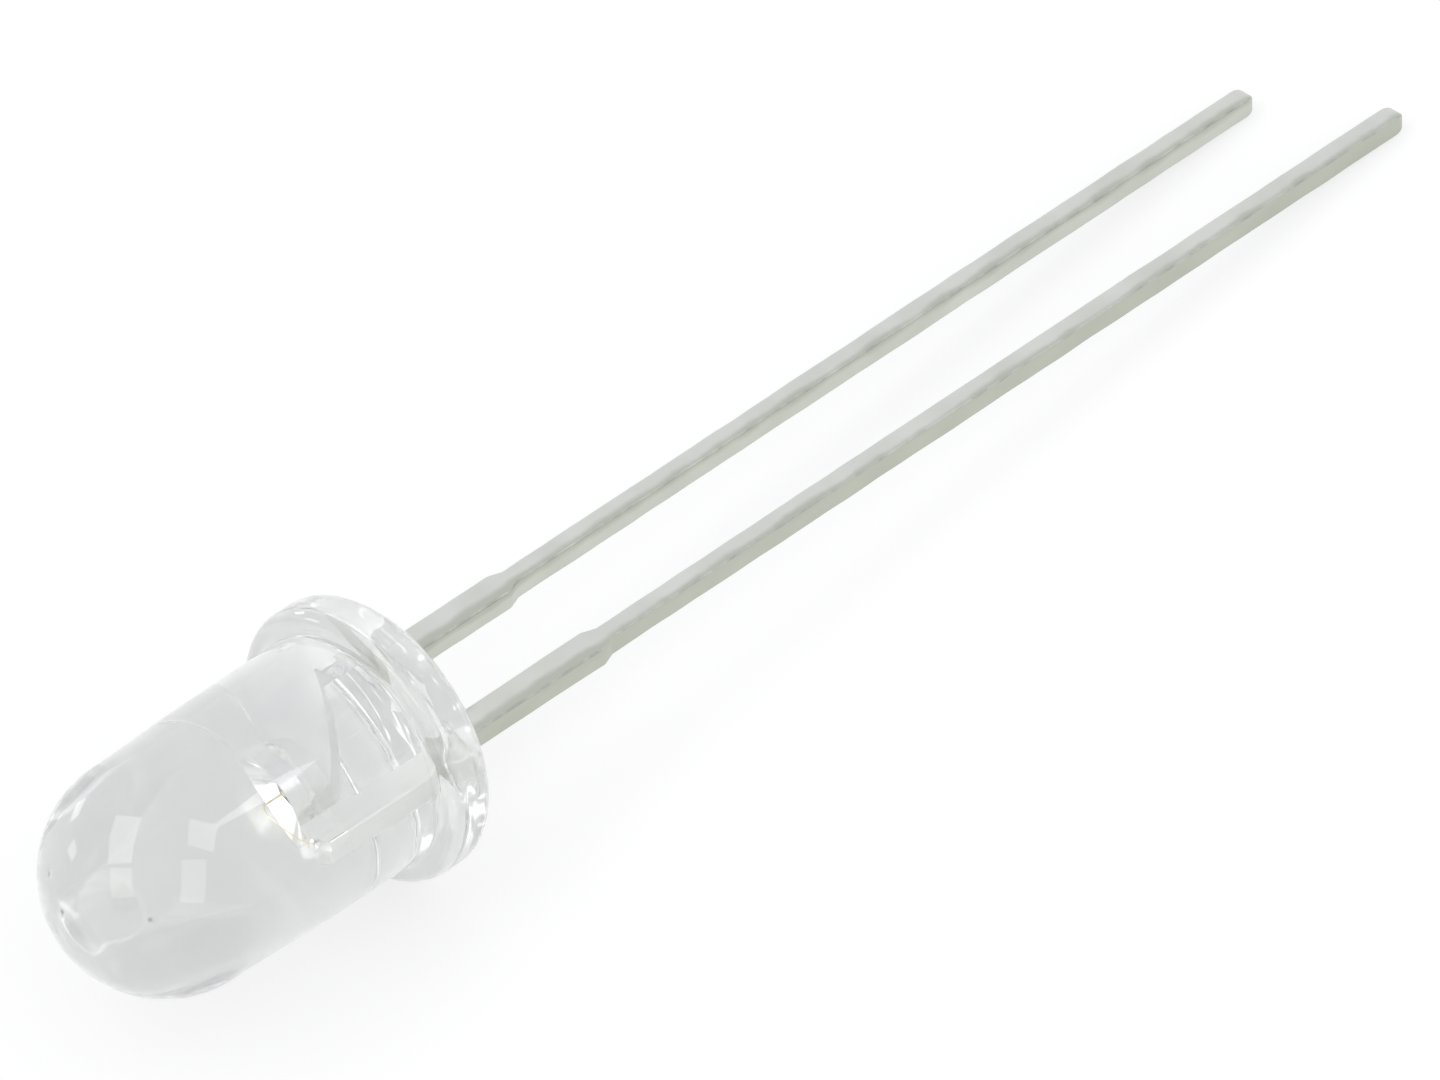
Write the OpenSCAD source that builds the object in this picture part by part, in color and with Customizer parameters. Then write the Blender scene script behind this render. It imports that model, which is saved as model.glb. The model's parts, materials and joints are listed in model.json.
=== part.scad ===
// Clear round light-emitting diode with two long leads, lying on a table.
//
// Every piece is drawn upright about the axis of the lens: the back of the flange is at z = 0, the
// dome points up, the short cathode lead is on the -x side and the long anode lead on the +x side.
// at_rest() then lays the pieces down on the edge of the flange and the tips of both leads, with the
// origin at the middle of the flange's back face, where a circuit board would meet it.

/* [Lens] */
// Radius of the straight stretch of the barrel
lens_r = 2.5; // [2.4:0.01:2.54]
// Radius of the dome, to which the barrel narrows
dome_r = 2.44; // [2.3:0.01:2.5]
// Height of the dome's tip above the back of the flange
lens_h = 8.5; // [7.5:0.1:10]
// Length of the barrel's straight stretch above the flange
grip_h = 2.36; // [1:0.02:3.2]

/* [Flange] */
// Radius of the flange
flange_r = 2.98; // [2.94:0.01:3.2]
// Thickness of the flange
flange_t = 1.04; // [0.8:0.02:1.4]
// Radius that rounds the flange's two outer edges
flange_edge_r = 0.33; // [0.1:0.01:0.36]
// Radius of the fillet between the flange and the barrel
flange_fillet_r = 0.12; // [0.05:0.01:0.16]
// Height of the resin that creeps up each lead
creep_h = 0.35; // [0.1:0.05:0.8]
// How far that resin spreads from the lead's corners
creep_spread = 0.2; // [0.06:0.01:0.4]
// Thickness of that resin at its edge, outside the lead's corners
creep_skin = 0.02; // [0.01:0.01:0.05]

/* [Leads] */
// Distance between the centre lines of the two leads
lead_pitch = 2.54; // [2.4:0.01:2.8]
// Thickness of the sheet that the leads are stamped from
lead_t = 0.45; // [0.35:0.01:0.55]
// Width of a lead along its plain length
lead_w = 0.45; // [0.35:0.01:0.55]
// Width of a lead from the flange to the end of its stub
wide_w = 0.63; // [0.56:0.01:0.66]
// Width over the stub where the tie bar was cut away
stub_w = 0.68; // [0.67:0.01:0.8]
// Distance from the flange to the end of the stub
stub_end = 4.4; // [3:0.1:6]
// Length of the stub
stub_l = 1.1; // [0.5:0.1:2]
// Length over which the stub narrows to the plain lead
taper_l = 0.32; // [0.1:0.02:0.6]
// Length of the anode lead below the flange
anode_l = 27; // [20:0.1:30]
// Length of the cathode lead below the flange
cathode_l = 25.4; // [18:0.1:26.5]
// Radius that rounds the tips of the leads
tip_r = 0.12; // [0.04:0.01:0.16]

/* [Reflector cup] */
// Height of the cup's rim above the back of the flange
rim_z = 3.65; // [3.2:0.05:4.4]
// Outer radius of the rim
rim_r = 0.67; // [0.61:0.01:0.7]
// Width of the flat top of the rim
rim_w = 0.07; // [0.04:0.01:0.12]
// Depth of the cup
cup_depth = 0.42; // [0.3:0.01:0.5]
// Radius of the cup's flat floor
cup_floor_r = 0.28; // [0.28:0.01:0.4]
// Height of the round head that carries the cup
head_h = 1.0; // [0.7:0.05:1.2]
// Radius of the head where it meets the plate
head_r = 0.5; // [0.42:0.01:0.58]

/* [Plate and post inside the lens] */
// Height at which the cathode lead starts to widen towards the axis
throat_z = 0.95; // [0.6:0.05:1.4]
// Height of the plate's outer shoulder
shoulder_z = 2.2; // [1.8:0.05:2.5]
// Height of the top of the anode post
post_z = 3.8; // [3.4:0.05:4.4]
// Gap between the rim of the cup and the post
post_gap = 0.2; // [0.1:0.01:0.28]
// Height of the post's flag
flag_h = 1.3; // [0.6:0.05:1.8]
// Size of the bevel on the post's outer top corner
post_bevel = 0.3; // [0.1:0.02:0.4]

/* [Chip and bond wire] */
// Width of the square chip
chip_w = 0.3; // [0.2:0.01:0.34]
// Height of the chip
chip_h = 0.15; // [0.08:0.01:0.25]
// Radius of the cement spot under the chip
cement_r = 0.25; // [0.25:0.01:0.28]
// Thickness of the cement spot
cement_t = 0.03; // [0.01:0.01:0.06]
// Radius of the bond wire
wire_r = 0.016; // [0.012:0.001:0.025]
// Radius of the ball where the wire meets the chip
ball_r = 0.045; // [0.035:0.001:0.06]
// Height of that ball
ball_h = 0.035; // [0.02:0.001:0.05]
// Radius of the wire's bend above the chip
bend_r = 0.16; // [0.08:0.01:0.25]
// Slope of the wire down to the post, in degrees
wire_slope = 14; // [6:1:25]

/* [Hidden] */
$fn = 96;

// Heights along the lens
dome_z = lens_h - dome_r;
grip_z = flange_t + grip_h;

// Edges of the wide part of each lead
outer_x = lead_pitch / 2 + wide_w / 2;
inner_x = lead_pitch / 2 - wide_w / 2;
corner_r = norm([wide_w, lead_t]) / 2;
bite = 0.1;

// Heights inside the lens
cup_z = rim_z - cup_depth;
head_z = rim_z - head_h;
plate_z = cup_z - bite;
chip_z = cup_z + cement_t;
ball_z = chip_z + chip_h;
flag_x = rim_r + post_gap;
flag_z = post_z - flag_h;
stitch_r = 2 * wire_r;
stitch_x = (flag_x + outer_x - post_bevel) / 2;

// The wire rises from the ball, bends over and runs down to the stitch on the post
wire_l = (stitch_x - bend_r * (1 + sin(wire_slope))) / cos(wire_slope);
bend_z = post_z + wire_r - bend_r * cos(wire_slope) + wire_l * sin(wire_slope);

// Lying down: the flange's back edge and both lead tips touch the table at once. The tips' corners
// count as balls of radius tip_r, and the leads' unequal lengths roll the part about its axis.
tip_in = lead_w / 2 - tip_r;
tip_step = (anode_l - cathode_l) / lead_pitch;
lean_a = flange_r - flange_edge_r - tip_in;
lean_b = anode_l - tip_r + flange_edge_r - tip_step * (lead_pitch / 2 - tip_in);
lean_c = tip_r - flange_edge_r;
rest_pitch = acos(lean_c / norm([lean_a, lean_b])) - atan2(lean_b, lean_a);
rest_roll = asin(tip_step * tan(rest_pitch));

module at_rest() {
    rotate([90 - rest_pitch, 0, 0]) rotate([0, 0, rest_roll]) children();
}

// Stands a flat drawing up: its y axis becomes the lens axis, and the sheet is centred on y = 0
module sheet(thickness) {
    rotate([90, 0, 0]) linear_extrude(height = thickness, center = true) children();
}

// Half section of the casting: flange with rounded edges, fillet, barrel and dome
module lens_section() {
    square([flange_r - flange_edge_r, flange_t]);
    translate([0, flange_edge_r]) square([flange_r, flange_t - 2 * flange_edge_r]);
    for (z = [flange_edge_r, flange_t - flange_edge_r])
        translate([flange_r - flange_edge_r, z]) circle(r = flange_edge_r);
    difference() {
        translate([0, flange_t]) square([lens_r + flange_fillet_r, flange_fillet_r]);
        translate([lens_r + flange_fillet_r, flange_t + flange_fillet_r]) circle(r = flange_fillet_r);
    }
    translate([0, flange_t]) square([lens_r, grip_h]);
    polygon([[0, grip_z], [lens_r, grip_z], [dome_r, dome_z], [0, dome_z]]);
    intersection() {
        translate([0, dome_z]) circle(r = dome_r);
        translate([0, dome_z]) square(dome_r);
    }
}

// Resin drawn up around a lead, narrowing almost to its corners
module creep(x) {
    translate([x, 0, -creep_h])
        cylinder(r1 = corner_r + creep_skin, r2 = corner_r + creep_spread, h = creep_h);
    translate([x, 0, 0]) cylinder(r = corner_r + creep_spread, h = bite);
}

module lens_blank() {
    rotate_extrude() lens_section();
    for (side = [-1, 1]) creep(side * lead_pitch / 2);
}

// Outline of a lead from the flange down to the start of its rounded tip
module lead_outline(length) {
    tip_y = 2 * tip_r - length;
    stub_y = stub_l - stub_end;
    taper_y = -stub_end - taper_l;
    polygon([
        [-wide_w / 2, 0], [-wide_w / 2, stub_y], [-stub_w / 2, stub_y], [-stub_w / 2, -stub_end],
        [-lead_w / 2, taper_y], [-lead_w / 2, tip_y], [lead_w / 2, tip_y], [lead_w / 2, taper_y],
        [stub_w / 2, -stub_end], [stub_w / 2, stub_y], [wide_w / 2, stub_y], [wide_w / 2, 0]
    ]);
}

// Rounded end of a bar that is w wide
module tip_outline(w) {
    translate([-w / 2, tip_r]) square([w, tip_r]);
    translate([tip_r - w / 2, 0]) square([w - 2 * tip_r, tip_r]);
    for (side = [-1, 1]) translate([side * (w / 2 - tip_r), tip_r]) circle(r = tip_r);
}

module lead_leg(length) {
    sheet(lead_t) lead_outline(length);
    translate([0, 0, -length]) intersection() {
        sheet(lead_t) tip_outline(lead_w);
        rotate([0, 0, 90]) sheet(lead_w) tip_outline(lead_t);
    }
}

// Round head with the conical cup that holds the chip
module cup_head() {
    rotate_extrude() polygon([
        [0, head_z], [head_r, head_z], [rim_r, cup_z], [rim_r, rim_z], [rim_r - rim_w, rim_z],
        [cup_floor_r, cup_z], [0, cup_z]
    ]);
}

module cathode_shape() {
    translate([-lead_pitch / 2, 0, 0]) lead_leg(cathode_l);
    sheet(lead_t) polygon([
        [-outer_x, 0], [-outer_x, shoulder_z], [-head_r, plate_z], [head_r, plate_z],
        [head_r, head_z], [-inner_x, throat_z], [-inner_x, 0]
    ]);
    cup_head();
}

module anode_shape() {
    translate([lead_pitch / 2, 0, 0]) lead_leg(anode_l);
    sheet(lead_t) polygon([
        [inner_x, 0], [inner_x, flag_z - inner_x + flag_x], [flag_x, flag_z], [flag_x, post_z],
        [outer_x - post_bevel, post_z], [outer_x, post_z - post_bevel], [outer_x, 0]
    ]);
}

module cement_shape() {
    translate([0, 0, cup_z]) cylinder(r = cement_r, h = cement_t);
}

module chip_shape() {
    translate([-chip_w / 2, -chip_w / 2, chip_z]) cube([chip_w, chip_w, chip_h]);
}

module wire_shape() {
    translate([0, 0, ball_z]) cylinder(r = ball_r, h = ball_h);
    translate([0, 0, ball_z]) cylinder(r = wire_r, h = bend_z - ball_z);
    translate([bend_r, 0, bend_z]) rotate([90, -90 + wire_slope, 0])
        rotate_extrude(angle = 90 + wire_slope) translate([bend_r, 0]) circle(r = wire_r);
    translate([bend_r, 0, bend_z]) rotate([0, 90 + wire_slope, 0])
        translate([-bend_r, 0, 0]) cylinder(r = wire_r, h = wire_l);
    translate([stitch_x, 0, post_z]) cylinder(r = stitch_r, h = wire_r);
}

module lens_body() {
    color([0.85, 0.87, 0.88, 0.5]) at_rest() difference() {
        lens_blank();
        cathode_shape();
        anode_shape();
        cement_shape();
        chip_shape();
        wire_shape();
    }
}

module cathode_lead() {
    color([0.77, 0.79, 0.75]) at_rest() cathode_shape();
}

module anode_lead() {
    color([0.75, 0.77, 0.73]) at_rest() anode_shape();
}

module led_chip() {
    color([0.35, 0.34, 0.3]) at_rest() chip_shape();
}

module chip_cement() {
    color([0.72, 0.72, 0.7]) at_rest() cement_shape();
}

module bond_wire() {
    color([0.85, 0.68, 0.3]) at_rest() wire_shape();
}

lens_body();
cathode_lead();
anode_lead();
led_chip();
chip_cement();
bond_wire();
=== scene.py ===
"""Looks of a clear round light-emitting diode that lies on a white table on its flange and lead tips."""
import json
import math

import bmesh
import bpy
from mathutils import Matrix, Vector, kdtree, noise


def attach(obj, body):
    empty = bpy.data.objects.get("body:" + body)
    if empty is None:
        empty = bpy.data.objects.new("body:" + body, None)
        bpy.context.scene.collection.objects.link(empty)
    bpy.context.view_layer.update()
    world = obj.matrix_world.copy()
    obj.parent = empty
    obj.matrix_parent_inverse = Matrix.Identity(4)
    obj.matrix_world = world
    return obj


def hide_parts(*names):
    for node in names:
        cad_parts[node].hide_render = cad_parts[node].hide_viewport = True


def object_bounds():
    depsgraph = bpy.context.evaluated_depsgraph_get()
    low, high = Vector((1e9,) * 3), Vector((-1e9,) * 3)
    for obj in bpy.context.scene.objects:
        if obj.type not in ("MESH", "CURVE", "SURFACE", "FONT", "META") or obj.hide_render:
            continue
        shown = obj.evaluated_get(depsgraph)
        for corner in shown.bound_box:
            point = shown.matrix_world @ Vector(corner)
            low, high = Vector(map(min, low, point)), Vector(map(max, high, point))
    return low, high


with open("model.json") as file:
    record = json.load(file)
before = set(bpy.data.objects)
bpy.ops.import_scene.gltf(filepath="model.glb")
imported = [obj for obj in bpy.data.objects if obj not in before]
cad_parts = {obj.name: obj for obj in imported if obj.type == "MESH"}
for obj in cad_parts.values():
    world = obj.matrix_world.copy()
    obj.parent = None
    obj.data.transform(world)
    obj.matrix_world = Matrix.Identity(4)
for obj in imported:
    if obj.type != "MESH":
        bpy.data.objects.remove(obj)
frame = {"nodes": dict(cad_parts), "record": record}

cad_low, cad_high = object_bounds()
scene = bpy.context.scene
MM = 0.001

# The part's own axes at rest: ACROSS runs from the short lead to the long one, DOME along the lens
# axis to the dome's tip, and FACE out of the flat sheet that the leads are stamped from. PART takes
# x across, y out of the sheet and z along the lens, in millimetres from the seat's centre, to there.
MOUNTS = {mount["name"]: mount for mount in frame["record"]["mounts"]}
DOME = Vector(MOUNTS["barrel"]["axis"]).normalized()
LEAD_STEP = Vector(MOUNTS["anode_pin"]["pos_m"]) - Vector(MOUNTS["cathode_pin"]["pos_m"])
ACROSS = (LEAD_STEP - LEAD_STEP.dot(DOME) * DOME).normalized()
FACE = DOME.cross(ACROSS)
SEAT = Vector(MOUNTS["seat"]["pos_m"])
PART_AXES = Matrix((ACROSS, FACE, DOME)).transposed()
PART = Matrix.Translation(SEAT) @ PART_AXES.to_4x4() @ Matrix.Scale(MM, 4)

# The photograph's camera: the picture is PICTURE pixels, the seat's centre lies at SEAT_PX, and a
# millimetre there is SCALE_PX pixels. The lens axis rises by AXIS_TURN in the picture and leans
# AXIS_TIP towards the viewer, and the lead plane is turned LEAD_TURN about it.
PICTURE = (1440, 1080)
SEAT_PX = (385.8, 725.9)
SCALE_PX = 51.93
AXIS_TURN = math.radians(33.454)
AXIS_TIP = math.radians(33.246)
LEAD_TURN = math.radians(41.135)
LENS_MM = 1000
SENSOR_MM = 36
CLIP_SHARES = (0.5, 3)

# Sizes of the casting, in millimetres, with heights above the seat, as in the part's source
LENS_R = 2.5
DOME_R = 2.44
DOME_Z = 6.06
GRIP_Z = 3.4
FLANGE_R = 2.98
FLANGE_T = 1.04
EDGE_R = 0.33
FILLET_R = 0.12
CREEP_H = 0.35
CREEP_FADE = 0.09

# Slight waves in the casting's skin, and the mould's parting line, a fine ring round a part of it
WAVE_H = 0.004
WAVE_SCALE = 0.9
RING_Z = 4.55
RING_H = 0.024
RING_W = 0.035
RING_REACH = 3 * RING_W
RING_ARC = (76, 136)

# Small bubbles and dents in the skin, as degrees round the lens axis and height. Each bubble's middle
# is tinted dark as painted shade.
BUBBLES = ((143, 8.19), (141, 8.46), (27, 7.87), (22, 4.24))
BUBBLE_R = 0.14
BUBBLE_H = 0.05
BUBBLE_SHADE_R = 0.085
DENTS = ((117, 1.54), (87, 1.57))
DENT_R = 0.28
DENT_H = 0.03

# How finely the casting is cut: points in a ring, lengths along its outline, and cuts of its arcs
AROUND = 256
BACK_STEP = 0.03
RIM_STEP = 0.07
LEDGE_STEP = 0.05
GRIP_STEP = 0.15
TAPER_STEP = 0.1
RING_STEP = RING_W / 3
EDGE_CUTS = 10
FILLET_CUTS = 8
DOME_CUTS = 48

# Sizes of the leads, in millimetres: below OUTSIDE_Z they are worn and uneven, and above CAST_FROM
# they keep the CAD's shading
LEAD_X = 1.27
WIDE_W = 0.63
SHEET_T = 0.45
STEP_Z = -3.3
STEP_W = 0.68
OUTSIDE_Z = -1.0
CAST_FROM = 0.9
WORN_R = 0.055
WORN_CUTS = 6
TIP_CUTS = (0.01, 0.03, 0.06, 0.1, 0.15, 0.21, 0.28)
TIP_NARROWING = 0.85
UNEVEN_H = 0.012
UNEVEN_STEP = 0.3
UNEVEN_SCALE = 1.4
UNEVEN_SEED = 5

# When two heights or points of a lead's mesh count as one, and two faces as flat or as sharp
SAME_HEIGHT = 0.01
MERGED = 0.004
SAME_POINT = 0.006
FLAT = math.radians(0.5)
SHARP = math.radians(35)

# The casting's resin, with colours as linear red, green and blue. The dome bends light less than
# the barrel, from DOME_RISE on, and so does the resin where light leaves it: both by the share CALM.
RESIN_DARK = (0.68, 0.695, 0.69)
RESIN_LIGHT = (0.72, 0.73, 0.72)
MILK_DARK = (0.74, 0.755, 0.76)
MILK_LIGHT = (0.78, 0.785, 0.78)
BUBBLE_PAINTED_SHADE = (0.2, 0.2, 0.2)
RESIN_SHADE = (0.84, 0.85, 0.86)
MILKINESS = 0.2
RESIN_BEND = 1.55
CALM_BEND = 1.15
MILK_BEND = 1.12
CLEAR_ROUGHNESS = 0.01
MILK_ROUGHNESS = 0.4
COAT = 0.7
COAT_BEND = 1.6
DOME_RISE = (5.2, 6.4)
CALM = 0.85

# The leads' tin outside the casting, and the silver inside it. The tin's sheared edges are darker
# than the sheet's face, partly as their own colour and partly as painted shade, which is deeper on the
# anode lead, and the two ridges carry painted shade with a broken painted dark line. TO_EDGE is the
# turn over which the sheet's face passes into its sheared edge, and CREPT_OVER and CUP_RIM are heights.
SHEET_DARK = (0.64, 0.65, 0.61)
SHEET_LIGHT = (0.7, 0.71, 0.67)
# Sheared edges: their own darker tin and painted shade, deeper on the anode lead
SHADED_EDGE_DARK = {"cathode_lead": (0.58, 0.6, 0.54), "anode_lead": (0.49, 0.51, 0.44)}
SHADED_EDGE_LIGHT = {"cathode_lead": (0.64, 0.66, 0.6), "anode_lead": (0.53, 0.55, 0.48)}
# Painted shade on the two ridges, and the painted dark line along them
RIDGE_PAINTED_SHADE = (0.5, 0.52, 0.455)
RIDGE_PAINTED_LINE = (0.38, 0.4, 0.36)
SILVER_DARK = (0.94, 0.94, 0.93)
SILVER_LIGHT = (0.98, 0.98, 0.97)
TIN_ROUGHNESS = (0.28, 0.42)
PLATE_ROUGHNESS = (0.42, 0.55)
CUP_ROUGHNESS = (0.1, 0.16)
TO_EDGE = (0.4, 0.9)
TO_RIDGE = (0.1, 0.9)
TO_LINE = (0.1, 0.5)
WAVER = 0.25
LINE_GAPS = (0.36, 0.66)
LINE_FAINT = 0.3
CREPT_OVER = (-0.35, -0.1)
CUP_RIM = (3.0, 3.1)

# Light: the room's level, the floor's colour and its own white for light and for what is seen, and
# how far the lamps stand, in millimetres
WHITE = (1, 1, 1)
CEILING = (0.9, 0.91, 0.95)
CEILING_RISE = (0.05, 0.9)
ROOM_LIGHT = 0.56
FLOOR_LIT = (0.8, 0.8, 0.8)
FLOOR_SEEN = (0.3, 0.3, 0.3)
FLOOR_WHITE = 0.78
FLOOR_HALF_M = 0.5
LAMP_AWAY = 300
COOL = (0.98, 0.99, 1)


def link(obj, material=None):
    scene.collection.objects.link(obj)
    if material:
        obj.data.materials.append(material)
    return obj


def make_camera():
    data = bpy.data.cameras.new("camera")
    data.lens = LENS_MM
    data.sensor_width = SENSOR_MM
    focal_px = LENS_MM / SENSOR_MM * PICTURE[0]
    distance = focal_px / SCALE_PX * MM
    turn, tip = AXIS_TURN, AXIS_TIP
    to_tips = Vector((math.cos(turn) * math.cos(tip), math.sin(turn) * math.cos(tip), -math.sin(tip)))
    beside = Vector((math.sin(turn), -math.cos(turn), 0))
    nearer = Vector((math.cos(turn) * math.sin(tip), math.sin(turn) * math.sin(tip), math.cos(tip)))
    across = math.cos(LEAD_TURN) * beside + math.sin(LEAD_TURN) * nearer
    seen = Matrix((across, (-to_tips).cross(across), -to_tips)).transposed()
    turned = PART_AXES @ seen.transposed()
    offset = Vector((
        (SEAT_PX[0] - PICTURE[0] / 2) / focal_px * distance,
        (PICTURE[1] / 2 - SEAT_PX[1]) / focal_px * distance,
        -distance,
    ))
    camera = link(bpy.data.objects.new("camera", data))
    camera.matrix_world = Matrix.Translation(SEAT - turned @ offset) @ turned.to_4x4()
    data.clip_start, data.clip_end = (distance * share for share in CLIP_SHARES)
    scene.camera = camera


class Shader:
    """The node tree of a material or a world, with short ways to add and join nodes."""

    def __init__(self, owner, output="ShaderNodeOutputMaterial"):
        owner.use_nodes = True
        self.owner = owner
        self.tree = owner.node_tree
        self.tree.nodes.clear()
        self.output = self.add(output)

    def add(self, kind, **values):
        node = self.tree.nodes.new(kind)
        for key, value in values.items():
            setattr(node, key, value)
        return node

    def join(self, source, target):
        self.tree.links.new(source, target)

    def finish(self, surface):
        self.join(surface, self.output.inputs["Surface"])
        return self.owner

    def coordinates(self, kind="Object"):
        return self.add("ShaderNodeTexCoord").outputs[kind]

    def noise(self, per_mm, detail=3.0):
        """Noise in object coordinates, with about so many features in a millimetre."""
        mapping = self.add("ShaderNodeMapping")
        mapping.inputs["Scale"].default_value = [1 / MM] * 3
        texture = self.add("ShaderNodeTexNoise")
        texture.inputs["Scale"].default_value = per_mm
        texture.inputs["Detail"].default_value = detail
        self.join(self.coordinates(), mapping.inputs["Vector"])
        self.join(mapping.outputs["Vector"], texture.inputs["Vector"])
        return texture.outputs["Fac"]

    def dot(self, vector, axis):
        node = self.add("ShaderNodeVectorMath", operation="DOT_PRODUCT")
        self.join(vector, node.inputs[0])
        node.inputs[1].default_value = axis
        return node.outputs["Value"]

    def along(self, axis, start=0.0):
        """How far a point lies from start along one of the part's axes, in millimetres."""
        return self.sum("SUBTRACT", self.dot(self.coordinates(), axis / MM), SEAT.dot(axis) / MM + start)

    def turned_to(self, axis):
        """One where the surface faces one of the part's axes or its opposite, and nought beside it."""
        return self.sum("ABSOLUTE", self.dot(self.coordinates("Normal"), axis))

    def hollows(self, places, radius_mm):
        """Nought in the middle of each place on the casting's skin, and one beside them."""
        level = self.value(1.0)
        for place in places:
            away = self.add("ShaderNodeVectorMath", operation="DISTANCE")
            self.join(self.coordinates(), away.inputs[0])
            away.inputs[1].default_value = on_casting(*place)
            near = self.smooth_span(away.outputs["Value"], (0, radius_mm * MM))
            level = self.sum("MINIMUM", level, near)
        return level

    def sum(self, operation, first, second=None):
        """A plain sum of two values, where the second may be a number."""
        node = self.add("ShaderNodeMath", operation=operation)
        self.join(first, node.inputs[0])
        if isinstance(second, (int, float)):
            node.inputs[1].default_value = second
        elif second:
            self.join(second, node.inputs[1])
        return node.outputs[0]

    def colour(self, linear):
        node = self.add("ShaderNodeRGB")
        node.outputs[0].default_value = (*linear, 1)
        return node.outputs[0]

    def value(self, number):
        node = self.add("ShaderNodeValue")
        node.outputs[0].default_value = number
        return node.outputs[0]

    def ramp(self, value, low, high, span=(0.35, 0.65)):
        """One colour that passes into another over the span of a value."""
        node = self.add("ShaderNodeValToRGB")
        for element, position, linear in zip(node.color_ramp.elements, span, (low, high)):
            element.position = position
            element.color = (*linear, 1)
        self.join(value, node.inputs["Fac"])
        return node.outputs["Color"]

    def span(self, value, source, target=(0, 1)):
        """Takes the span of a value to another span, and holds it within that."""
        node = self.add("ShaderNodeMapRange")
        node.inputs["From Min"].default_value, node.inputs["From Max"].default_value = source
        node.inputs["To Min"].default_value, node.inputs["To Max"].default_value = target
        self.join(value, node.inputs["Value"])
        return node.outputs["Result"]

    def smooth_span(self, value, source):
        result = self.span(value, source)
        result.node.interpolation_type = "SMOOTHSTEP"
        return result

    def spread(self, cloud, target):
        """Spreads noise over a span of values."""
        return self.span(cloud, (0.3, 0.7), target)

    def mix(self, factor, first, second):
        node = self.add("ShaderNodeMix", data_type="FLOAT")
        self.join(factor, node.inputs["Factor"])
        self.join(first, node.inputs[2])
        self.join(second, node.inputs[3])
        return node.outputs[0]

    def tint(self, factor, first, second):
        node = self.add("ShaderNodeMix", data_type="RGBA")
        self.join(factor, node.inputs["Factor"])
        self.join(first, node.inputs[6])
        self.join(second, node.inputs[7])
        return node.outputs[2]

    def blend(self, factor, first, second):
        node = self.add("ShaderNodeMixShader")
        self.join(factor, node.inputs["Fac"])
        self.join(first, node.inputs[1])
        self.join(second, node.inputs[2])
        return node.outputs["Shader"]

    def bump(self, height, strength, distance_mm, below=None):
        node = self.add("ShaderNodeBump")
        node.inputs["Strength"].default_value = strength
        node.inputs["Distance"].default_value = distance_mm * MM
        self.join(height, node.inputs["Height"])
        if below:
            self.join(below, node.inputs["Normal"])
        return node.outputs["Normal"]


def new_look(name):
    return Shader(bpy.data.materials.new(name))


def resin_layer(look, dark, light, bend, roughness, relief):
    """Cast resin of one clarity, under the same glossy skin."""
    layer = look.add("ShaderNodeBsdfPrincipled")
    layer.inputs["Transmission Weight"].default_value = 1.0
    layer.inputs["IOR"].default_value = bend
    layer.inputs["Roughness"].default_value = roughness
    layer.inputs["Coat Weight"].default_value = COAT
    layer.inputs["Coat IOR"].default_value = COAT_BEND
    layer.inputs["Coat Roughness"].default_value = 0.0
    cloudy = look.ramp(look.noise(0.35, detail=2.0), dark, light)
    # Painted shade: a dark tint in the middle of each bubble
    bubble_shade = look.hollows(BUBBLES, BUBBLE_SHADE_R)
    look.join(look.tint(bubble_shade, look.colour(BUBBLE_PAINTED_SHADE), cloudy), layer.inputs["Base Color"])
    look.join(relief, layer.inputs["Normal"])
    return layer.outputs["BSDF"]


def clear_resin():
    """Clear resin with a milky part, calmer in the dome, which lets lamps shine through."""
    look = new_look("clear_resin")
    relief = look.bump(look.noise(0.5, detail=2.0), strength=0.15, distance_mm=0.05)
    relief = look.bump(look.hollows(DENTS, DENT_R), strength=1.0, distance_mm=DENT_H, below=relief)
    relief = look.bump(look.hollows(BUBBLES, BUBBLE_R), strength=1.0, distance_mm=BUBBLE_H, below=relief)
    barrel = resin_layer(look, RESIN_DARK, RESIN_LIGHT, RESIN_BEND, CLEAR_ROUGHNESS, relief)
    dome = resin_layer(look, RESIN_DARK, RESIN_LIGHT, CALM_BEND, CLEAR_ROUGHNESS, relief)
    milky = resin_layer(look, MILK_DARK, MILK_LIGHT, MILK_BEND, MILK_ROUGHNESS, relief)
    path = look.add("ShaderNodeLightPath")
    rise = look.span(look.along(DOME), DOME_RISE, (0, CALM))
    leaving = look.span(path.outputs["Is Transmission Ray"], (0, 1), (0, CALM))
    clear = look.blend(look.sum("MAXIMUM", rise, leaving), barrel, dome)
    body = look.blend(look.value(MILKINESS), clear, milky)
    shade = look.add("ShaderNodeBsdfTransparent")
    shade.inputs["Color"].default_value = (*RESIN_SHADE, 1)
    return look.finish(look.blend(path.outputs["Is Shadow Ray"], body, shade.outputs["BSDF"]))


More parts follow.
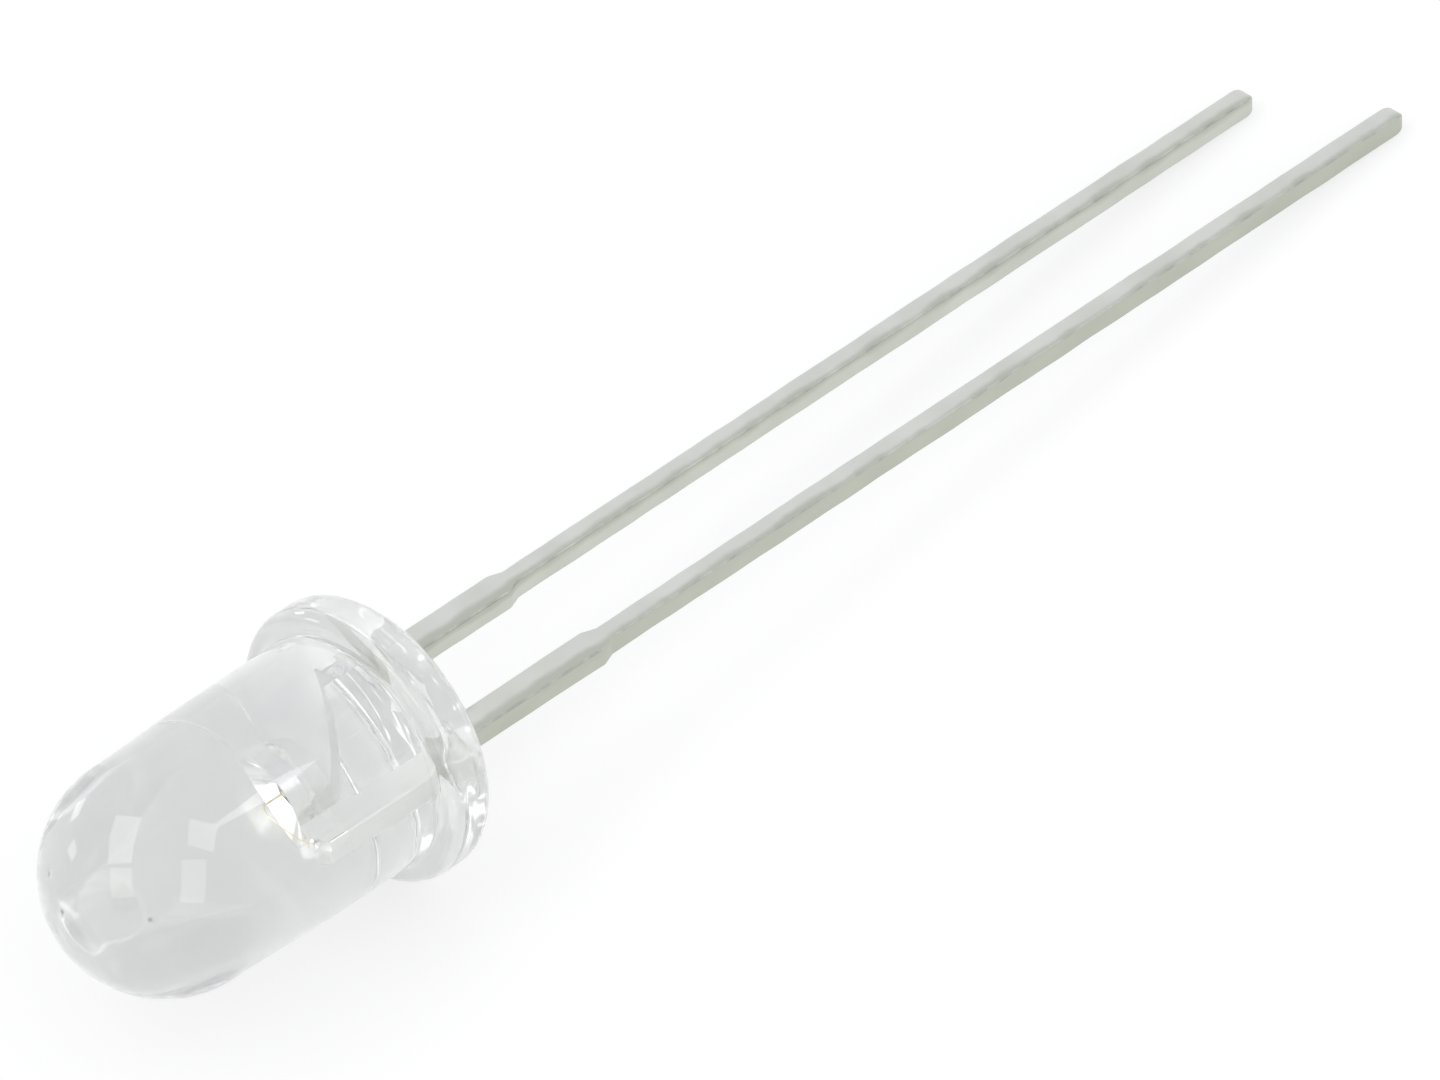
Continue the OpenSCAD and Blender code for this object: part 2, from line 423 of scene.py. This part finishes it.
def tin_and_painted_shade(look, cloud, node_name, middle):
    """Tin that is lighter on the sheet's own face than on its sheared edges, whose darker colour is
    partly painted shade.

    The two ridges where the stamp rounded the sheet carry painted shade, a darker colour with a broken
    painted dark line along them."""
    sheet = look.ramp(cloud, SHEET_DARK, SHEET_LIGHT)
    # Sheared edges darker, partly their own colour and partly painted shade
    edge = look.ramp(cloud, SHADED_EDGE_DARK[node_name], SHADED_EDGE_LIGHT[node_name])
    tin_and_shade = look.tint(look.span(look.turned_to(ACROSS), TO_EDGE), sheet, edge)
    # Painted shade along the two ridges, darker nearer the corner, then a broken painted dark line on
    # them
    corner = look.sum("MULTIPLY", look.along(ACROSS, middle), look.along(FACE))
    waver = look.spread(look.noise(1.1), (-WAVER, WAVER))
    worn_ridge_shade = look.sum("ADD", look.sum("MULTIPLY", corner, 4 / SHEET_T ** 2), waver)
    tin_and_shade = look.tint(look.smooth_span(worn_ridge_shade, TO_RIDGE), tin_and_shade, look.colour(RIDGE_PAINTED_SHADE))
    round_part = look.sum("MULTIPLY", look.turned_to(ACROSS), look.turned_to(FACE))
    broken = look.span(look.noise(2.2), LINE_GAPS, (LINE_FAINT, 1))
    shade_line = look.sum("MULTIPLY", look.sum("MULTIPLY", round_part, worn_ridge_shade), broken)
    return look.tint(look.smooth_span(shade_line, TO_LINE), tin_and_shade, look.colour(RIDGE_PAINTED_LINE))


def plated_lead(name, node_name, middle):
    """Tin plate outside the casting, with painted shade on its edges and ridges, which turns into the
    bright silver plate inside it.
    """
    look = new_look(name)
    body = look.add("ShaderNodeBsdfPrincipled")
    body.inputs["Metallic"].default_value = 1.0
    height = look.along(DOME)
    inside = look.span(height, CREPT_OVER)
    cloud = look.noise(0.8, detail=4.0)
    tin_and_shade = tin_and_painted_shade(look, cloud, node_name, middle)
    silver = look.ramp(cloud, SILVER_DARK, SILVER_LIGHT)
    look.join(look.tint(inside, tin_and_shade, silver), body.inputs["Base Color"])
    grain = look.noise(1.6)
    plate = look.mix(inside, look.spread(grain, TIN_ROUGHNESS), look.spread(grain, PLATE_ROUGHNESS))
    roughness = look.mix(look.span(height, CUP_RIM), plate, look.spread(grain, CUP_ROUGHNESS))
    look.join(roughness, body.inputs["Roughness"])
    relief = look.bump(look.noise(2.4, detail=4.0), strength=0.5, distance_mm=0.01)
    look.join(relief, body.inputs["Normal"])
    return look.finish(body.outputs["BSDF"])


def plain(name, dark, light, roughness, per_mm, relief_mm, relief_scale=1, metallic=0.0):
    """A mottled surface, with relief that is relief_scale times as fine as the mottling."""
    look = new_look(name)
    body = look.add("ShaderNodeBsdfPrincipled")
    body.inputs["Metallic"].default_value = metallic
    look.join(look.ramp(look.noise(per_mm, detail=4.0), dark, light), body.inputs["Base Color"])
    look.join(look.spread(look.noise(per_mm * 2), roughness), body.inputs["Roughness"])
    relief = look.bump(look.noise(per_mm * relief_scale, detail=4.0), strength=0.5, distance_mm=relief_mm)
    look.join(relief, body.inputs["Normal"])
    return look.finish(body.outputs["BSDF"])


def arc(centre, radius, start, end, cuts):
    """Points on an arc, from start to end degrees."""
    angles = [math.radians(start + (end - start) * i / cuts) for i in range(cuts + 1)]
    return [(centre[0] + radius * math.cos(a), centre[1] + radius * math.sin(a)) for a in angles]


def run(start, end, step):
    """Points on a straight line about step apart, without its first point."""
    count = max(1, round(math.dist(start, end) / step))
    return [
        (start[0] + (end[0] - start[0]) * i / count, start[1] + (end[1] - start[1]) * i / count)
        for i in range(1, count + 1)
    ]


def lens_profile():
    """Half section of the casting from the middle of the seat to the dome's tip, as (radius, height)."""
    rim = FLANGE_R - EDGE_R
    ledge = LENS_R + FILLET_R
    points = run((0, 0), (rim, 0), BACK_STEP)
    points += arc((rim, EDGE_R), EDGE_R, -90, 0, EDGE_CUTS)[1:]
    points += run((FLANGE_R, EDGE_R), (FLANGE_R, FLANGE_T - EDGE_R), RIM_STEP)
    points += arc((rim, FLANGE_T - EDGE_R), EDGE_R, 0, 90, EDGE_CUTS)[1:]
    points += run((rim, FLANGE_T), (ledge, FLANGE_T), LEDGE_STEP)
    points += arc((ledge, FLANGE_T + FILLET_R), FILLET_R, 270, 180, FILLET_CUTS)[1:]
    points += run((LENS_R, FLANGE_T + FILLET_R), (LENS_R, GRIP_Z), GRIP_STEP)
    heights = run((GRIP_Z, 0), (RING_Z - RING_REACH, 0), TAPER_STEP)
    heights += run((RING_Z - RING_REACH, 0), (RING_Z + RING_REACH, 0), RING_STEP)
    heights += run((RING_Z + RING_REACH, 0), (DOME_Z, 0), TAPER_STEP)
    points += [(barrel_radius(height), height) for height, _ in heights]
    points += arc((0, DOME_Z), DOME_R, 0, 90, DOME_CUTS)[1:-1]
    return points


def barrel_radius(height):
    """Radius of the barrel where it narrows softly from the grip to the dome."""
    share = (height - GRIP_Z) / (DOME_Z - GRIP_Z)
    return LENS_R - (LENS_R - DOME_R) * share * share * (3 - 2 * share)


def on_casting(degrees, height):
    """The point of the casting's skin at an angle round the lens axis and a height above the seat."""
    radius = LENS_R
    if height > DOME_Z:
        radius = math.sqrt(DOME_R ** 2 - (height - DOME_Z) ** 2)
    elif height > GRIP_Z:
        radius = barrel_radius(height)
    angle = math.radians(degrees)
    return PART @ Vector((radius * math.cos(angle), radius * math.sin(angle), height))


def parting_line(angle, height):
    """How far the mould's parting line stands out of the skin."""
    start, end = (math.radians(degrees) for degrees in RING_ARC)
    if not start < angle < end:
        return 0
    fade = math.sin(math.pi * (angle - start) / (end - start))
    return RING_H * fade * math.exp(-((height - RING_Z) / RING_W) ** 2)


def creep(x, y):
    """How far the resin climbs a lead at a point of the seat."""
    out_x = abs(abs(x) - LEAD_X) - WIDE_W / 2
    out_y = abs(y) - SHEET_T / 2
    away = math.hypot(max(out_x, 0), max(out_y, 0))
    return CREEP_H * math.exp(-away / CREEP_FADE)


def skin_ring(work, radius, height):
    """One ring of the casting's points, with the resin's creep on the seat and waves elsewhere."""
    points = []
    for i in range(AROUND):
        angle = 2 * math.pi * i / AROUND
        x, y, z = radius * math.cos(angle), radius * math.sin(angle), height
        if height == 0:
            z -= creep(x, y)
        else:
            dip = noise.noise(Vector((x, y, z)) * WAVE_SCALE) * WAVE_H - parting_line(angle, height)
            x -= dip * math.cos(angle)
            y -= dip * math.sin(angle)
        points.append(work.verts.new((x, y, z)))
    return points


def into_mesh(work, name):
    """Turns work in the part's millimetres into a smooth mesh in its place at rest."""
    mesh = bpy.data.meshes.new(name)
    work.to_mesh(mesh)
    work.free()
    mesh.transform(PART)
    mesh.shade_smooth()
    return mesh


def make_lens():
    work = bmesh.new()
    bottom = work.verts.new((0, 0, 0))
    rings = [skin_ring(work, radius, height) for radius, height in lens_profile()]
    top = work.verts.new((0, 0, DOME_Z + DOME_R))
    sides = [(i, (i + 1) % AROUND) for i in range(AROUND)]
    for lower, upper in zip(rings, rings[1:]):
        for i, j in sides:
            work.faces.new((lower[i], lower[j], upper[j], upper[i]))
    for i, j in sides:
        work.faces.new((bottom, rings[0][j], rings[0][i]))
        work.faces.new((top, rings[-1][i], rings[-1][j]))
    mesh = into_mesh(work, "lens_casting")
    return link(bpy.data.objects.new(mesh.name, mesh), clear_resin())


def runs_outside(edge):
    """True for a lead's sharp edge outside the casting: one of the long ones, or one at the tip."""
    lowest = min(vert.co.z for vert in edge.verts)
    sharp = len(edge.link_faces) == 2 and edge.calc_face_angle() > SHARP
    return sharp and lowest < OUTSIDE_Z


def cut_across(work, height):
    whole = work.verts[:] + work.edges[:] + work.faces[:]
    bmesh.ops.bisect_plane(work, geom=whole, plane_co=(0, 0, height), plane_no=(0, 0, 1))


def even_step(work):
    """Draws the stub's upper edges out to one line at its step, and merges what is flat there."""
    for vert in work.verts:
        if abs(vert.co.z - STEP_Z) < SAME_HEIGHT:
            away = abs(vert.co.x) - LEAD_X
            vert.co.x = math.copysign(LEAD_X + math.copysign(STEP_W / 2, away), vert.co.x)
    bmesh.ops.remove_doubles(work, verts=work.verts, dist=MERGED)
    bmesh.ops.dissolve_limit(work, angle_limit=FLAT, verts=work.verts, edges=work.edges)


def wear_edges(work):
    edges = [edge for edge in work.edges if runs_outside(edge)]
    bmesh.ops.bevel(
        work, geom=edges, offset=WORN_R, segments=WORN_CUTS, profile=0.5, affect="EDGES",
        clamp_overlap=True,
    )


def round_tip(work):
    """Narrows a lead's last stretch to a rounded end."""
    tip = min(vert.co.z for vert in work.verts)
    for cut in TIP_CUTS:
        cut_across(work, tip + cut)
    for vert in work.verts:
        near = 1 - (vert.co.z - tip) / TIP_CUTS[-1]
        if near > 0:
            narrow = math.sqrt(1 - TIP_NARROWING * near ** 2)
            middle = math.copysign(LEAD_X, vert.co.x)
            vert.co.x = middle + (vert.co.x - middle) * narrow
            vert.co.y *= narrow


def make_uneven(work):
    """Gives a lead outside the casting the slight waves that tinning leaves on it."""
    noise.seed_set(UNEVEN_SEED)
    tip = min(vert.co.z for vert in work.verts)
    for i in range(1, round((OUTSIDE_Z - tip) / UNEVEN_STEP)):
        cut_across(work, OUTSIDE_Z - i * UNEVEN_STEP)
    for vert in work.verts:
        share = min(1, max(0, OUTSIDE_Z - vert.co.z))
        wave = noise.noise_vector(vert.co * UNEVEN_SCALE) * UNEVEN_H * share
        vert.co.x += wave.x
        vert.co.y += wave.y


def keep_shading(node, mesh):
    """Gives the part of a worn lead inside the casting the shading that the CAD mesh has there."""
    cad = node.data
    turn = node.matrix_world.to_3x3()
    facing = {i: (turn @ poly.normal).normalized() for poly in cad.polygons for i in poly.loop_indices}
    places = kdtree.KDTree(len(cad.loops))
    for i, loop in enumerate(cad.loops):
        places.insert(node.matrix_world @ cad.vertices[loop.vertex_index].co, i)
    places.balance()
    normals = [Vector((0, 0, 0)) for _ in mesh.loops]
    for poly in mesh.polygons:
        if (poly.center - SEAT).dot(DOME) < CAST_FROM * MM:
            continue
        for i in poly.loop_indices:
            corner = mesh.vertices[mesh.loops[i].vertex_index].co
            found = places.find_range(corner, SAME_POINT * MM)
            if found:
                best = max(found, key=lambda near: facing[near[1]].dot(poly.normal))
                normals[i] = (turn @ cad.corner_normals[best[1]].vector).normalized()
    mesh.normals_split_custom_set(normals)


def make_lead(node_name, material):
    """A lead as it is in the CAD, with the long edges and the tip worn round by stamping and tinning."""
    node = frame["nodes"][node_name]
    work = bmesh.new()
    work.from_mesh(node.data)
    work.transform(PART.inverted() @ node.matrix_world)
    even_step(work)
    wear_edges(work)
    round_tip(work)
    make_uneven(work)
    mesh = into_mesh(work, node_name + "_worn")
    mesh.set_sharp_from_angle(angle=SHARP)
    keep_shading(node, mesh)
    lead = link(bpy.data.objects.new(mesh.name, mesh), material)
    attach(lead, "root")
    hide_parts(node_name)
    return lead


def dress(node_name, material):
    node = frame["nodes"][node_name]
    node.data.materials.clear()
    node.data.materials.append(material)


def background_rays(look):
    """One for the rays that show the background: straight, mirrored and refracted ones."""
    path = look.add("ShaderNodeLightPath").outputs
    seen = look.sum("MAXIMUM", path["Is Camera Ray"], path["Is Glossy Ray"])
    return look.sum("MAXIMUM", seen, path["Is Transmission Ray"])


def make_floor():
    look = new_look("table_top")
    seen = background_rays(look)
    diffuse = look.add("ShaderNodeBsdfDiffuse")
    look.join(look.ramp(seen, FLOOR_LIT, FLOOR_SEEN, (0, 1)), diffuse.inputs["Color"])
    glow = look.add("ShaderNodeEmission")
    glow.inputs["Color"].default_value = (*WHITE, 1)
    look.join(look.sum("MULTIPLY", seen, FLOOR_WHITE), glow.inputs["Strength"])
    both = look.add("ShaderNodeAddShader")
    look.join(diffuse.outputs["BSDF"], both.inputs[0])
    look.join(glow.outputs["Emission"], both.inputs[1])
    mesh = bpy.data.meshes.new("table_top")
    half = FLOOR_HALF_M
    corners = [(-half, -half, 0), (half, -half, 0), (half, half, 0), (-half, half, 0)]
    mesh.from_pydata(corners, [], [(0, 1, 2, 3)])
    floor = link(bpy.data.objects.new("table_top", mesh), look.finish(both.outputs["Shader"]))
    floor.location = (0, 0, cad_low.z)


def make_world():
    """A soft white room, with a cooler ceiling that lamps' light and mirrored rays meet."""
    scene.world = bpy.data.worlds.new("surroundings")
    look = Shader(scene.world, "ShaderNodeOutputWorld")
    split = look.add("ShaderNodeSeparateXYZ")
    look.join(look.coordinates("Generated"), split.inputs[0])
    ceiling = look.ramp(split.outputs["Z"], WHITE, CEILING, CEILING_RISE)
    path = look.add("ShaderNodeLightPath")
    colour = look.tint(path.outputs["Is Camera Ray"], ceiling, look.colour(WHITE))
    background = look.add("ShaderNodeBackground")
    look.join(colour, background.inputs["Color"])
    look.join(look.span(background_rays(look), (0, 1), (ROOM_LIGHT, 1)), background.inputs["Strength"])
    look.finish(background.outputs["Background"])


def toward(azimuth, elevation):
    """A direction, with azimuth 0 straight in front of the dome and 90 on the long lead's side."""
    a, e = math.radians(azimuth), math.radians(elevation)
    return Vector((math.sin(a) * math.cos(e), -math.cos(a) * math.cos(e), math.sin(e)))


def panel(name, corners, brightness, colour=WHITE, mirrored=True):
    """A flat soft light that fills the four directions, from its low left corner round.

    One that isn't mirrored shines into the casting only, and leaves no patch on its skin."""
    low_left, low_right, high_right, high_left = [toward(*corner) * LAMP_AWAY * MM for corner in corners]
    middle = (low_left + low_right + high_right + high_left) / 4
    back = middle.normalized()
    right = (low_right + high_right - low_left - high_left) / 2
    right -= right.dot(back) * back
    up = (high_left + high_right - low_left - low_right) / 2
    up -= up.dot(back) * back
    up -= up.dot(right) / right.length_squared * right
    data = bpy.data.lights.new(name, "AREA")
    data.shape = "RECTANGLE"
    data.size = right.length
    data.size_y = up.length
    data.energy = brightness * math.pi * data.size * data.size_y
    data.color = colour
    lamp = link(bpy.data.objects.new(name, data))
    x_axis = right.normalized()
    if x_axis.cross(up).dot(back) <= 0:
        x_axis = -x_axis
    turn = Matrix((x_axis, back.cross(x_axis), back)).transposed()
    lamp.matrix_world = Matrix.Translation(middle) @ turn.to_4x4()
    lamp.visible_camera = False
    lamp.visible_glossy = mirrored
    lamp.visible_diffuse = mirrored


def make_lamps():
    """Two tall soft lights stand left and right of the camera, each with a dark bar across it.

    A wide warm one fills the cup through the casting, and two small ones make glints at its left."""
    panel("left_low", [(-4, 12), (16, 20), (9, 45), (-14, 34)], 1.4, (1, 0.99, 0.94))
    panel("left_high", [(-18, 37), (8, 49), (-72, 69), (-71, 47)], 2.0, COOL)
    panel("right_low", [(60, 17), (80, 10), (102, 41), (73, 54)], 1.45, (1, 0.99, 0.96))
    panel("right_high", [(88, 60), (121, 38), (140, 47), (160, 63)], 1.7, COOL)
    panel("cup_fill", [(-44, 2), (45, 2), (45, 42), (-44, 42)], 1.5, (1, 0.98, 0.91), mirrored=False)
    panel("edge_glint", [(-93, 2), (-80, 4), (-80, 12), (-93, 10)], 2.4)
    panel("tip_glint", [(-63, 3), (-52, 5), (-52, 14), (-63, 12)], 2.0)


make_camera()
lens = make_lens()
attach(lens, "root")
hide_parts("lens_body")

for node_name, middle in (("cathode_lead", -LEAD_X), ("anode_lead", LEAD_X)):
    lead = make_lead(node_name, plated_lead("tinned_" + node_name, node_name, middle))

dress("led_chip", plain(
    "chip_grey", dark=(0.05, 0.05, 0.04), light=(0.12, 0.11, 0.09),
    roughness=(0.3, 0.5), per_mm=6.0, relief_mm=0.005,
))
dress("chip_cement", plain(
    "silver_cement", dark=(0.5, 0.5, 0.48), light=(0.62, 0.62, 0.6),
    roughness=(0.4, 0.6), per_mm=12.0, relief_mm=0.01,
))
dress("bond_wire", plain(
    "gold_wire", dark=(0.78, 0.7, 0.5), light=(0.88, 0.8, 0.62),
    roughness=(0.2, 0.3), per_mm=4.0, relief_mm=0.002, relief_scale=3, metallic=1.0,
))

make_floor()
make_world()
make_lamps()

scene.cycles.max_bounces = 24
scene.cycles.glossy_bounces = 16
scene.cycles.transmission_bounces = 24
scene.cycles.transparent_max_bounces = 24
scene.cycles.caustics_reflective = False
scene.cycles.caustics_refractive = False
scene.view_settings.view_transform = "Standard"
